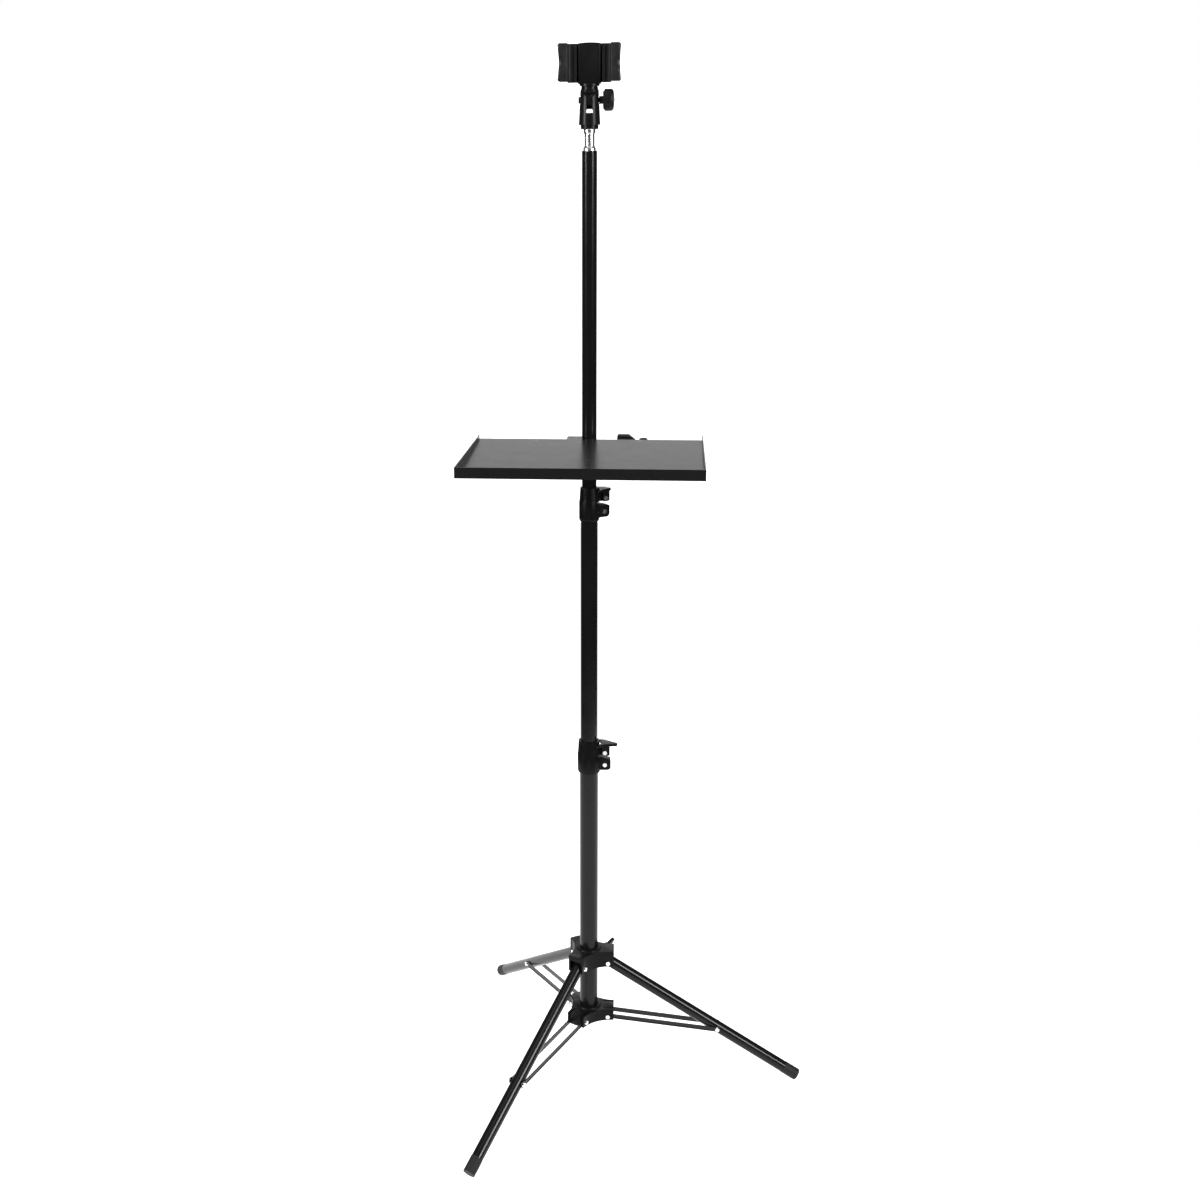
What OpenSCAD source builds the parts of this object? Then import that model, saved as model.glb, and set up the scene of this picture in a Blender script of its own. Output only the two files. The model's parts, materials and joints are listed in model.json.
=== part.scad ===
// Tripod stand with a three-section column, a sheet-metal tray and a clamp on a tilting head.
// The column stands on the Z axis moved by axis_x, the floor is Z = 0, one leg points along +X
// and the tray faces -Y.

/* [Legs] */
// Length of a leg from its hub pin to the end of its foot cap
leg_len = 313; // [260:1:360]
// Lean of an opened leg from the vertical, in degrees
leg_tilt = 57.6; // [50:0.2:62]
// Outside diameter of a leg tube
leg_d = 16; // [12:0.5:17]
// Distance along a leg from its hub pin to its brace joint
leg_joint_at = 180.7; // [150:0.5:200]
// Height of the upper hub's pins above the lower hub's pins, with the stand open
pin_gap = 81.6; // [70:0.5:95]
// Distance of the hub pins from the column's axis
hub_pin_r = 27; // [26.5:0.5:32]
// Diameter of the bolts in the hubs
hub_bolt_d = 4; // [3:0.5:5]
// Length of a foot cap
foot_cap_len = 22; // [14:1:40]
// Thickness of a brace strip
strip_t = 1.5; // [1:0.1:2.5]
// Width of a brace strip
strip_w = 6.4; // [5.5:0.1:8]
// Diameter of a brace strip's round ends
strip_end_d = 9; // [8.5:0.1:10]

/* [Hubs] */
// Height of the upper hub
upper_hub_h = 23; // [22.5:0.5:30]
// Height of the lower hub
lower_hub_h = 16; // [13:0.5:24]
// How far a hub reaches below its pins
hub_lip = 4.5; // [4:0.5:7]
// Reach of a hub arm past its pin
arm_past = 8; // [6:0.5:12]
// Thickness of a hub cheek
cheek_t = 2.6; // [2:0.1:4]
// Radius of the hollow curve between two hub arms
hub_scoop_r = 47; // [40:1:60]
// Height of the raised ring on top of a hub
hub_ring_h = 1.5; // [0.5:0.1:3]
// Turn of the hub's wing screw from the right leg, in degrees
hub_knob_turn = 54; // [52:1:66]
// Width of the wing of the hub's screw
hub_wing_w = 18; // [14:0.5:26]

/* [Column] */
// Outside diameter of the top tube
top_tube_d = 19; // [16:0.5:20]
// Wall of each tube of the column
tube_wall = 1.2; // [0.8:0.1:1.6]
// Clearance all round between one tube and the next
tube_gap = 0.3; // [0.2:0.05:0.5]
// Length of the lower tube
lower_tube_len = 392; // [330:1:450]
// Length of the middle tube that shows
mid_show = 307; // [240:1:330]
// Length of the top tube that shows
top_show = 427; // [360:1:460]
// Length of each sliding tube inside the collar and tube below it
tube_lap = 78; // [60:1:100]

/* [Collars] */
// Height of the lower section of a collar, which is fixed to its tube
collar_fixed_h = 26; // [24.5:0.5:30]
// Height of the upper section of a collar, which grips the sliding tube
collar_grip_h = 18; // [16:0.5:24]
// Wall of the lower collar
lower_collar_wall = 3; // [2:0.1:4]
// Wall of the upper collar
upper_collar_wall = 2.2; // [1.8:0.1:4]
// Distance of a collar's bolts from its tube
lug_bolt_out = 8.5; // [8:0.5:12]
// Height of the upper bolt above the collar's seam
grip_bolt_up = 3; // [2.8:0.1:5]
// Distance of the lower bolt below the collar's seam
fixed_bolt_down = 15.5; // [15:0.1:17]
// Reach of the lower lug past its bolt
lug_past = 8; // [6:0.5:8.5]
// Reach of the upper lug past its bolt
grip_lug_past = 6.5; // [5:0.5:8]
// Width of a collar's lugs
lug_w = 11; // [9:0.5:14]
// Turn of the lower collar about the column, in degrees
lower_collar_turn = 4; // [-40:1:60]
// Turn of the upper collar about the column, in degrees
upper_collar_turn = 32; // [-40:1:60]
// Reach of a lever's wing past its bolt
lever_reach = 17; // [14:0.5:24]
// Height of a lever's wing above its bolt
lever_up = 8.8; // [8.6:0.1:12]
// Thickness of a lever
lever_t = 2.4; // [1.8:0.1:3.5]

/* [Tray] */
// Width of the tray
tray_w = 286; // [220:1:340]
// Depth of the tray
tray_d = 233; // [180:1:280]
// Height of the tray's front lip
tray_lip = 13; // [8:0.5:25]
// Height of the side lips at the back of the tray
tray_lip_back = 6.5; // [4:0.5:8]
// Thickness of the tray's sheet
tray_t = 1.2; // [0.8:0.1:2.5]
// Distance of the tray's back edge from the column's axis
tray_back = 24; // [22:0.5:32]
// Distance of the tray's middle to the right of the column's axis
tray_side = 2; // [-20:0.5:20]
// Turn of the tray about the column, in degrees
tray_turn = -1.3; // [-30:0.1:30]
// Height of the tray clamp's underside above the upper collar
tray_up = 43; // [40:1:160]
// Height of the tray clamp
tray_clamp_h = 24; // [20:0.5:30]
// Diameter of the tray clamp's knob
tray_knob_d = 31; // [24:0.5:36]
// Width of the bracket under the tray
bracket_w = 56; // [44:1:80]
// Reach of the bracket's plate under the tray
bracket_reach = 66; // [50:1:100]
// Thickness of the bracket's plate
bracket_t = 4; // [3:0.5:6]
// Distance of each tray screw from the middle of the tray
screw_out = 66; // [50:1:90]
// Diameter of a tray screw's head
screw_head_d = 6; // [5:0.5:9]

/* [Head] */
// Length of the stud's part that shows above the top tube
stud_show = 26; // [18:0.5:36]
// Diameter of the stud
stud_d = 15.8; // [14:0.1:16.6]
// Height of the socket from its lower ring to its seam
socket_h = 42.5; // [38:0.5:52]
// Diameter of the socket at its foot
socket_d = 26.6; // [25:0.1:30]
// Diameter of the socket at its top
socket_top_d = 22.6; // [22:0.1:25]
// Height of the tilt bolt below the seam
tilt_drop = 7.8; // [7:0.1:9]
// Width of the fork's slot
fork_slot = 6.8; // [5:0.1:9]
// Height of the neck from the seam to its platform's top
neck_h = 11.5; // [10:0.5:18]
// Diameter of the neck's platform
platform_d = 24.7; // [24:0.1:30]
// Diameter of the tilt knob
tilt_knob_d = 26.6; // [20:0.1:32]
// Length of the tilt knob
tilt_knob_len = 14.2; // [12:0.1:20]

/* [Clamp] */
// Height of the clamp
clamp_h = 48.5; // [42:0.5:60]
// Width of the clamp's middle block
clamp_mid_w = 28; // [28:0.5:40]
// Width of the band beside the middle block
clamp_band_w = 12.2; // [9:0.1:18]
// Width of a jaw's lip
clamp_lip_w = 12.2; // [10:0.1:16]
// Depth of the clamp's middle block
clamp_depth = 22; // [20:0.5:30]
// Reach of a lip in front of the middle block
lip_reach = 11; // [8:0.5:20]
// How far each jaw slides out
jaw_travel = 18; // [10:1:18]
// Half height of the thumb scoop in a jaw's lip
scoop_half_h = 12.5; // [8:0.5:15]
// Depth of the thumb scoop, seen from the front
scoop_in = 8.4; // [5:0.1:9]

/* [Hidden] */
$fn = 64;

// Clearances
slide_gap = 0.3;
seat_gap = 0.05;
pin_gap_r = 0.08;
side_gap = 0.5;

// Levels and radii that follow from the sizes above
leg_r = leg_d / 2;
foot_r = leg_r + 0.2;
foot_flat = 0.4;
foot_end_z = foot_r * sin(leg_tilt) - foot_flat;
upper_pin_z = foot_end_z + leg_len * cos(leg_tilt);
lower_pin_z = upper_pin_z - pin_gap;
joint_r = hub_pin_r + leg_joint_at * sin(leg_tilt);
joint_z = upper_pin_z - leg_joint_at * cos(leg_tilt);
brace_len = norm([joint_r - hub_pin_r, joint_z - lower_pin_z]);
brace_rise = atan2(joint_z - lower_pin_z, joint_r - hub_pin_r);
foot_reach = hub_pin_r + leg_len * sin(leg_tilt);
axis_x = -foot_reach / 4;

strip_in = foot_r + side_gap;
strip_out = strip_in + strip_t;
upper_half = leg_r + side_gap + cheek_t;
lower_half = strip_out + slide_gap + cheek_t;
upper_hub_z0 = upper_pin_z - hub_lip;
lower_hub_z0 = lower_pin_z - hub_lip;
bolt_head_h = 1.6;
bolt_head_d = hub_bolt_d + 3;
spot_face_d = bolt_head_d + 1.4;
seat_in = 0.3;
scoop_bite = 0.1;
hub_screw_up = 3;
channel_in = 0.5;
tilt_bolt_d = 5;
tilt_flat = socket_top_d / 2 - 0.2;
tongue_r = 10.8;
platform_h = 2.6;
crown = 1;
scoop_front = 4;
tongue_d = 6;
tongue_h = 12;
tongue_low_z = clamp_h / 2 - tongue_h - 2;
tongue_high_z = clamp_h / 2 + 2;

mid_tube_d = top_tube_d + 2 * (tube_wall + tube_gap);
lower_tube_d = mid_tube_d + 2 * (tube_wall + tube_gap);
hub_floor = 3;
lower_tube_z0 = lower_hub_z0 + hub_floor;
lower_seam_z = lower_tube_z0 + lower_tube_len;
lower_collar_top = lower_seam_z + collar_grip_h;
upper_collar_z0 = lower_collar_top + mid_show;
upper_seam_z = upper_collar_z0 + collar_fixed_h;
upper_collar_top = upper_seam_z + collar_grip_h;
top_tube_z1 = upper_collar_top + top_show;

tray_clamp_z0 = upper_collar_top + tray_up;
tray_z0 = tray_clamp_z0 + tray_clamp_h;

ring_z0 = top_tube_z1 + stud_show;
seam_z = ring_z0 + socket_h;
tilt_z = seam_z - tilt_drop;
platform_z = seam_z + neck_h;
leg_turns = [0, 120, 240];

// Points of an arc about the point c.
function arc(c, r, from, to, n = 6) =
    [for (i = [0:n]) c + r * [cos(from + (to - from) * i / n), sin(from + (to - from) * i / n)]];

// Radius of an arc with the given half chord and rise.
function arc_r(half_chord, rise) = (half_chord * half_chord + rise * rise) / (2 * rise);

// Moves its children onto the column's axis.
module on_axis() {
    translate([axis_x, 0, 0]) children();
}

// Turns its children to the direction of one leg.
module to_leg(i) {
    on_axis() rotate([0, 0, leg_turns[i]]) children();
}

// Turns its children with the tray about the column.
module with_tray() {
    on_axis() rotate([0, 0, tray_turn]) children();
}

// A straight tube along Z from z0 to z1.
module tube(d, wall, z0, z1) {
    translate([0, 0, z0]) difference() {
        cylinder(d = d, h = z1 - z0);
        translate([0, 0, -1]) cylinder(d = d - 2 * wall, h = z1 - z0 + 2);
    }
}

// A rod along Y, centred on the XZ point (x, z).
module cross_rod(x, z, d, half) {
    translate([x, half, z]) rotate([90, 0, 0]) cylinder(d = d, h = 2 * half);
}

// A bolt along Y with a low round head on each side.
module cross_bolt(x, z, d, half) {
    cross_rod(x, z, d, half + bolt_head_h);
    for (s = [-1, 1])
        translate([x, s * half, z]) rotate([-90 * s, 0, 0])
            cylinder(d1 = bolt_head_d, d2 = bolt_head_d - 1.4, h = bolt_head_h);
}

// Cuts a bolt's bore through a hub arm, with a flat seat for each head.
module bolt_seat(x, z, half) {
    cross_rod(x, z, hub_bolt_d + 2 * pin_gap_r, half + 1);
    for (s = [-1, 1])
        translate([x, s * (half - seat_in), z]) rotate([-90 * s, 0, 0]) cylinder(d = spot_face_d, h = 8);
}

// The star of three arms that both hubs share, without its bores.
module hub_star(z0, h, half) {
    reach = hub_pin_r + arm_past;
    scoop_at = (hub_scoop_r + half - scoop_bite) / sin(60);
    corner_turn = atan2(half, reach);
    translate([0, 0, z0]) difference() {
        linear_extrude(h) polygon([for (turn = leg_turns) for (s = [-1, 1])
            norm([reach, half]) * [cos(turn + s * corner_turn), sin(turn + s * corner_turn)]]);
        for (turn = leg_turns)
            rotate([0, 0, turn + 60]) translate([scoop_at, 0, -1])
                cylinder(r = hub_scoop_r, h = h + 2, $fn = 128);
    }
}

// The low ring round the tube on top of a hub.
module hub_ring(z) {
    translate([0, 0, z - 1]) cylinder(d1 = lower_tube_d + 10, d2 = lower_tube_d + 6.5, h = hub_ring_h + 1);
}

module lower_hub() {
    slot_from = hub_pin_r - strip_end_d / 2 - 1.5;
    color([0.09, 0.09, 0.1]) on_axis() difference() {
        union() {
            hub_star(lower_hub_z0, lower_hub_h, lower_half);
            hub_ring(lower_hub_z0 + lower_hub_h);
        }
        translate([0, 0, lower_tube_z0]) cylinder(d = lower_tube_d + 2 * seat_gap, h = lower_hub_h + 5);
        for (turn = leg_turns) rotate([0, 0, turn]) {
            for (s = [-1, 1])
                translate([slot_from, s > 0 ? strip_in - slide_gap : -strip_out - slide_gap, lower_hub_z0 - 1])
                    cube([arm_past + 20, strip_t + 2 * slide_gap, lower_hub_h + 2]);
            bolt_seat(hub_pin_r, lower_pin_z, lower_half);
        }
    }
}

module lower_hub_bolts() {
    color("silver") on_axis() for (turn = leg_turns)
        rotate([0, 0, turn]) cross_bolt(hub_pin_r, lower_pin_z, hub_bolt_d, lower_half - seat_in);
}

module upper_hub() {
    roof = upper_hub_h - hub_lip - 11.5;
    slot_from = hub_pin_r - 11.2;
    color([0.09, 0.09, 0.1]) on_axis() difference() {
        union() {
            hub_star(upper_hub_z0, upper_hub_h, upper_half);
            hub_ring(upper_hub_z0 + upper_hub_h);
            to_hub_screw() cylinder(d = 12, h = 34);
        }
        translate([0, 0, upper_hub_z0 - 1]) cylinder(d = lower_tube_d + 2 * slide_gap, h = upper_hub_h + 6);
        for (turn = leg_turns) rotate([0, 0, turn]) {
            translate([slot_from, -leg_r - side_gap, upper_hub_z0 - 1])
                cube([arm_past + 20, leg_d + 2 * side_gap, upper_hub_h + 1 - roof]);
            bolt_seat(hub_pin_r, upper_pin_z, upper_half);
        }
        to_hub_screw() cylinder(d = 5 + 2 * pin_gap_r, h = 40);
    }
}

module upper_hub_bolts() {
    color("silver") on_axis() for (turn = leg_turns)
        rotate([0, 0, turn]) cross_bolt(hub_pin_r, upper_pin_z, hub_bolt_d, upper_half - seat_in);
}

// Turns its children from the Z axis to the axis of the upper hub's screw.
module to_hub_screw() {
    rotate([0, 0, hub_knob_turn]) translate([0, 0, upper_pin_z + hub_screw_up]) rotate([0, 90, 0]) children();
}

// The wing screw that locks the upper hub on the lower tube.
module hub_knob() {
    tip = lower_tube_d / 2 + slide_gap;
    root = 34 + side_gap;
    half = hub_wing_w / 2;
    wing_t = 4;
    wing = concat([[-4, 0], [4, 0], [5, 5]], arc([half - 3, 14], 3, 0, 90), [[0, 15]],
        arc([3 - half, 14], 3, 90, 180), [[-5, 5]]);
    color([0.08, 0.08, 0.09]) on_axis() to_hub_screw() {
        translate([0, 0, tip]) cylinder(d = 5, h = root + 6 - tip);
        translate([0, 0, root]) cylinder(d = 10, h = 7);
        rotate([0, 0, 50]) translate([0, wing_t / 2, root + 3]) rotate([90, 0, 0])
            linear_extrude(wing_t) polygon(wing);
    }
}

// One leg tube, hinged at its top.
module leg(i) {
    color([0.07, 0.07, 0.08]) to_leg(i) translate([hub_pin_r, 0, upper_pin_z]) rotate([0, 180 - leg_tilt, 0])
        difference() {
            translate([0, 0, -7]) cylinder(d = leg_d, h = leg_len - foot_cap_len + 7 - seat_gap);
            translate([0, 0, 14]) cylinder(d = leg_d - 2 * tube_wall, h = leg_len);
            for (at = [0, leg_joint_at])
                translate([0, leg_d, at]) rotate([90, 0, 0])
                    cylinder(d = hub_bolt_d + 2 * pin_gap_r, h = 2 * leg_d);
        }
}

// The cap on a leg's lower end, flattened where it meets the floor.
module foot(i) {
    color([0.05, 0.05, 0.055]) difference() {
        to_leg(i) translate([hub_pin_r, 0, upper_pin_z]) rotate([0, 180 - leg_tilt, 0])
            translate([0, 0, leg_len - foot_cap_len]) {
                cylinder(r = foot_r, h = foot_cap_len);
                translate([0, 0, -14]) cylinder(d = leg_d - 2 * tube_wall - 2 * seat_gap, h = 15);
            }
        translate([-1000, -1000, -20]) cube([2000, 2000, 20]);
    }
}

// The two strips of one brace, hinged at the lower hub.
module brace(i) {
    color([0.08, 0.08, 0.09]) to_leg(i) translate([hub_pin_r, 0, lower_pin_z]) rotate([0, -brace_rise, 0])
        for (s = [-1, 1]) translate([0, s > 0 ? strip_out : -strip_in, 0]) rotate([90, 0, 0])
            difference() {
                linear_extrude(strip_t) {
                    translate([0, -strip_w / 2]) square([brace_len, strip_w]);
                    circle(d = strip_end_d);
                    translate([brace_len, 0]) circle(d = strip_end_d);
                }
                translate([strip_end_d, -strip_w / 4, s > 0 ? -1 : strip_t - channel_in])
                    cube([brace_len - 2 * strip_end_d, strip_w / 2, channel_in + 1]);
                translate([0, 0, -1]) cylinder(d = hub_bolt_d + 2 * pin_gap_r, h = strip_t + 2);
                translate([brace_len, 0, -1]) cylinder(d = hub_bolt_d, h = strip_t + 2);
            }
}

// The rivet heads where a brace meets its leg.
module rivets(i) {
    color("silver") to_leg(i) translate([joint_r, 0, joint_z])
        for (s = [-1, 1]) translate([0, s * strip_in, 0]) rotate([-90 * s, 0, 0]) {
            cylinder(d = hub_bolt_d - 2 * seat_gap, h = strip_t + 0.2);
            translate([0, 0, strip_t]) cylinder(d1 = bolt_head_d, d2 = bolt_head_d - 1.4, h = bolt_head_h);
        }
}

module lower_tube() {
    color([0.07, 0.07, 0.08]) on_axis() tube(lower_tube_d, tube_wall, lower_tube_z0, lower_seam_z);
}

module mid_tube() {
    color([0.07, 0.07, 0.08]) on_axis()
        tube(mid_tube_d, tube_wall, lower_collar_top - tube_lap, upper_seam_z);
}

module top_tube() {
    color([0.07, 0.07, 0.08]) on_axis()
        tube(top_tube_d, tube_wall, upper_collar_top - tube_lap, top_tube_z1);
}

// A lug's side outline, from the tube out to x1 and from z0 to z1, with rounded outer corners.
module lug_side(x1, z0, z1, r) {
    linear_extrude(lug_w, center = true) polygon(concat([[0, z1], [0, z0]],
        arc([x1 - r, z0 + r], r, -90, 0), arc([x1 - r, z1 - r], r, 0, 90)));
}

// A collar: a fixed section on the tube below and a gripping section on the tube that slides.
module collar(seam_z0, tube_out, slide_d, wall, turn) {
    bolt_r = tube_out / 2 + lug_bolt_out;
    foot_h = 3;
    outer_d = tube_out + 2 * wall;
    slit = [[3, -0.4], [3, -0.8], [45, -13], [45, -2.8]];
    on_axis() rotate([0, 0, turn]) translate([0, 0, seam_z0]) difference() {
        union() {
            translate([0, 0, -collar_fixed_h]) cylinder(d1 = tube_out + 1, d2 = outer_d, h = foot_h);
            translate([0, 0, foot_h - collar_fixed_h]) cylinder(d = outer_d, h = collar_fixed_h - foot_h);
            translate([0, 0, -1]) cylinder(d1 = outer_d - 0.8, d2 = outer_d - 3, h = collar_grip_h + 1);
            rotate([90, 0, 0]) lug_side(bolt_r + lug_past, -fixed_bolt_down - 7.5, -5, 4.5);
            rotate([90, 0, 0]) lug_side(bolt_r + grip_lug_past, -3.5, grip_bolt_up + 5, 2);
        }
        translate([0, 0, -collar_fixed_h - 1]) cylinder(d = tube_out + 2 * seat_gap, h = collar_fixed_h + 1);
        translate([0, 0, -1]) cylinder(d = slide_d + 2 * slide_gap, h = collar_grip_h + 2);
        rotate([90, 0, 0]) linear_extrude(60, center = true) polygon(slit);
        for (z = [-fixed_bolt_down, grip_bolt_up]) cross_rod(bolt_r, z, hub_bolt_d + 2 * pin_gap_r, lug_w);
    }
}

module collar_bolts(seam_z0, tube_out, turn) {
    bolt_r = tube_out / 2 + lug_bolt_out;
    on_axis() rotate([0, 0, turn]) {
        cross_bolt(bolt_r, seam_z0 - fixed_bolt_down, hub_bolt_d, lug_w / 2);
        cross_bolt(bolt_r, seam_z0 + grip_bolt_up, hub_bolt_d, lug_w / 2 + 2 * slide_gap + lever_t);
    }
}

// The flip lever on a collar's upper bolt: two cheeks and a wing that tapers to its tip.
module lever(seam_z0, tube_out, wall, turn) {
    bolt_r = tube_out / 2 + lug_bolt_out;
    hug_r = tube_out / 2 + wall + 0.8;
    cheek_in = lug_w / 2 + slide_gap;
    tip = bolt_r + lever_reach;
    wing = concat(arc([0, 0], hug_r, 38, -62, 10), [[hug_r * 0.7, -hug_r * 0.9], [bolt_r, -cheek_in - lever_t]],
        arc([tip - 3, -4.5], 3, -70, 70), [[bolt_r + 7, 4.5], [bolt_r - 3, cheek_in + lever_t + 2]]);
    cheek = concat([[-3.7, lever_up + 1]], arc([-1.2, -2], 2.5, 180, 270), arc([4, -2], 2.5, 270, 360),
        [[6.5, lever_up + 1]]);
    on_axis() rotate([0, 0, turn]) translate([0, 0, seam_z0 + grip_bolt_up]) difference() {
        union() {
            for (y = [cheek_in + lever_t, -cheek_in])
                translate([bolt_r, y, 0]) rotate([90, 0, 0]) linear_extrude(lever_t) polygon(cheek);
            translate([0, 0, lever_up]) linear_extrude(lever_t) polygon(wing);
        }
        cross_rod(bolt_r, 0, hub_bolt_d + 2 * pin_gap_r, lug_w + 8);
    }
}

module lower_collar() {
    color([0.09, 0.09, 0.1])
        collar(lower_seam_z, lower_tube_d, mid_tube_d, lower_collar_wall, lower_collar_turn);
}

module upper_collar() {
    color([0.09, 0.09, 0.1])
        collar(upper_seam_z, mid_tube_d, top_tube_d, upper_collar_wall, upper_collar_turn);
}

module lower_collar_bolts() {
    color("silver") collar_bolts(lower_seam_z, lower_tube_d, lower_collar_turn);
}

module upper_collar_bolts() {
    color("silver") collar_bolts(upper_seam_z, mid_tube_d, upper_collar_turn);
}

module lower_lever() {
    color([0.1, 0.1, 0.11]) lever(lower_seam_z, lower_tube_d, lower_collar_wall, lower_collar_turn);
}

module upper_lever() {
    color([0.1, 0.1, 0.11]) lever(upper_seam_z, mid_tube_d, upper_collar_wall, upper_collar_turn);
}

// The stud that closes the top tube and carries the head.
module stud() {
    inner = top_tube_d - 2 * tube_wall - 2 * seat_gap;
    color([0.85, 0.85, 0.87]) on_axis() translate([0, 0, top_tube_z1]) rotate_extrude() polygon([
        [0, -20], [inner / 2, -20], [inner / 2, 0], [stud_d / 2, 0], [stud_d / 2, 3],
        [stud_d / 2 - 1.6, 6], [stud_d / 2 - 1.6, stud_show - 6], [stud_d / 2 - 0.5, stud_show - 4],
        [stud_d / 2 - 0.5, stud_show - 0.5], [stud_d / 2, stud_show + 0.5],
        [stud_d / 2, stud_show + 16], [stud_d / 2 - 1, stud_show + 17], [0, stud_show + 17]
    ]);
}

module tray_pan() {
    notch = 1.5;
    side = [[0, 0], [tray_d, 0], [tray_d, tray_lip_back], [tray_d - 3, tray_lip_back - 1],
        [tray_t, tray_lip], [0, tray_lip]];
    front = [[-tray_w / 2, 0], [tray_w / 2, 0], [tray_w / 2, tray_t], [tray_w / 2 - notch, tray_lip],
        [notch - tray_w / 2, tray_lip], [-tray_w / 2, tray_t]];
    color([0.2, 0.2, 0.21]) with_tray() difference() {
        translate([tray_side, -tray_back - tray_d, tray_z0]) {
            translate([-tray_w / 2, 0, 0]) cube([tray_w, tray_d, tray_t]);
            translate([0, tray_t, 0]) rotate([90, 0, 0]) linear_extrude(tray_t) polygon(front);
            for (s = [0, 1]) translate([s == 0 ? -tray_w / 2 : tray_w / 2 - tray_t, 0, 0])
                rotate([90, 0, 90]) linear_extrude(tray_t) polygon(side);
        }
        to_screws() translate([0, 0, -1]) cylinder(d = screw_head_d + 2 * pin_gap_r, h = 10);
    }
}

// Places its children at each tray screw, on the underside of the tray.
module to_screws() {
    for (s = [-1, 1]) translate([s * screw_out, -tray_back - 7, tray_z0]) children();
}

// The bracket under the tray, with the ring that grips the top tube.
module tray_bracket() {
    ring_h = tray_clamp_h - 6;
    screw_z = tray_clamp_z0 + tray_clamp_h / 2;
    bar_w = 2 * screw_out + 2 * screw_head_d;
    rib_w = bracket_w * 0.36;
    color([0.08, 0.08, 0.09]) with_tray() difference() {
        union() {
            translate([0, 0, tray_clamp_z0]) cylinder(d = top_tube_d + 12, h = ring_h);
            translate([-bracket_w / 2, -tray_back - 10, tray_clamp_z0])
                cube([rib_w, tray_back + 12, tray_clamp_h]);
            translate([-bracket_w / 2, -tray_back - 12, tray_clamp_z0]) cube([bracket_w, 16, ring_h]);
            translate([-bracket_w / 2, -tray_back - 4 - bracket_reach, tray_z0 - bracket_t])
                cube([bracket_w, bracket_reach, bracket_t]);
            translate([-bar_w / 2, -tray_back - 14, tray_z0 - bracket_t]) cube([bar_w, 14, bracket_t]);
            translate([-bracket_w / 2 + 2, -tray_back - 12, tray_z0 - 8]) cube([bracket_w - 4, 12, 5]);
            translate([0, 0, screw_z]) rotate([0, 90, 0]) cylinder(d = 13, h = 30);
        }
        translate([0, 0, tray_clamp_z0 - 1]) cylinder(d = top_tube_d + 2 * slide_gap, h = tray_clamp_h + 2);
        translate([0, 0, screw_z]) rotate([0, 90, 0]) cylinder(d = 5 + 2 * pin_gap_r, h = 40);
        to_screws() translate([0, 0, -9]) cylinder(d = screw_head_d / 2 + 2 * pin_gap_r, h = 10);
    }
}

module tray_screws() {
    color([0.1, 0.1, 0.1]) with_tray() to_screws() {
        translate([0, 0, seat_gap]) cylinder(d = screw_head_d, h = tray_t - 3 * seat_gap);
        translate([0, 0, -bracket_t - 2]) cylinder(d = screw_head_d / 2, h = bracket_t + 2.5);
    }
}

// A turned knob along Z with flutes round its widest part.
module fluted_knob(profile, r, z0, z1, count, flute_d) {
    difference() {
        rotate_extrude() polygon(profile);
        for (i = [0:count - 1]) rotate([0, 0, 360 * i / count])
            translate([r + flute_d * 0.2, 0, z0]) cylinder(d = flute_d, h = z1 - z0, $fn = 16);
    }
}

module tray_knob() {
    screw_z = tray_clamp_z0 + tray_clamp_h / 2;
    tip = top_tube_d / 2 + slide_gap;
    r = tray_knob_d / 2;
    profile = concat([[0, 36], [r - 4, 36]], arc([r - 2, 38], 2, -90, 0, 4),
        [[r, 51], [r - 6, 59], [r - 8, 59.5], [r - 8, 63.5], [r - 5.5, 64.5], [r - 4.5, 67]],
        arc([r - 7.5, 72], 3, 0, 90, 5), [[0, 75.5]]);
    color([0.08, 0.08, 0.09]) with_tray() translate([0, 0, screw_z]) rotate([0, 90, 0]) {
        translate([0, 0, tip]) cylinder(d = 5, h = 40 - tip);
        fluted_knob(profile, r, 35, 56, 10, 5);
    }
}

// The socket on the stud, forked at its top.
module socket() {
    ring_h = 5;
    window_w = fork_slot + 1.4;
    tongue_low = tilt_z - tongue_r;
    color([0.1, 0.1, 0.11]) on_axis() difference() {
        union() {
            translate([0, 0, ring_z0]) cylinder(d = socket_d - 4.6, h = ring_h);
            intersection() {
                translate([0, 0, ring_z0 + ring_h])
                    cylinder(d1 = socket_d, d2 = socket_top_d, h = socket_h - 1);
                union() {
                    translate([-20, -20, ring_z0]) cube([40, 40, socket_h - tilt_drop]);
                    translate([-20, 0, tilt_z]) rotate([0, 90, 0]) cylinder(r = socket_top_d / 2 + 0.2, h = 40);
                }
            }
        }
        translate([0, 0, ring_z0 - 1]) cylinder(d = stud_d + 2 * slide_gap, h = 18.5);
        translate([-fork_slot / 2, -20, tongue_low - 4]) cube([fork_slot, 40, 40]);
        translate([-window_w / 2, -20, tongue_low - 4.4]) cube([window_w, 40, 3.4]);
        translate([-20, 0, tilt_z]) rotate([0, 90, 0]) cylinder(d = tilt_bolt_d + 2 * pin_gap_r, h = 40);
        for (s = [-1, 1])
            translate([s * tilt_flat, 0, tilt_z]) rotate([0, 90 * s, 0]) cylinder(d = 11.5, h = 8);
    }
}

module tilt_bolt() {
    color([0.12, 0.12, 0.12]) on_axis() translate([0, 0, tilt_z]) rotate([0, 90, 0]) {
        translate([0, 0, -tilt_flat - seat_gap - 2.4]) cylinder(d = 8, h = 2.4);
        translate([0, 0, -tilt_flat - 1]) cylinder(d = tilt_bolt_d, h = 2 * tilt_flat + 14);
    }
}

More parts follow.
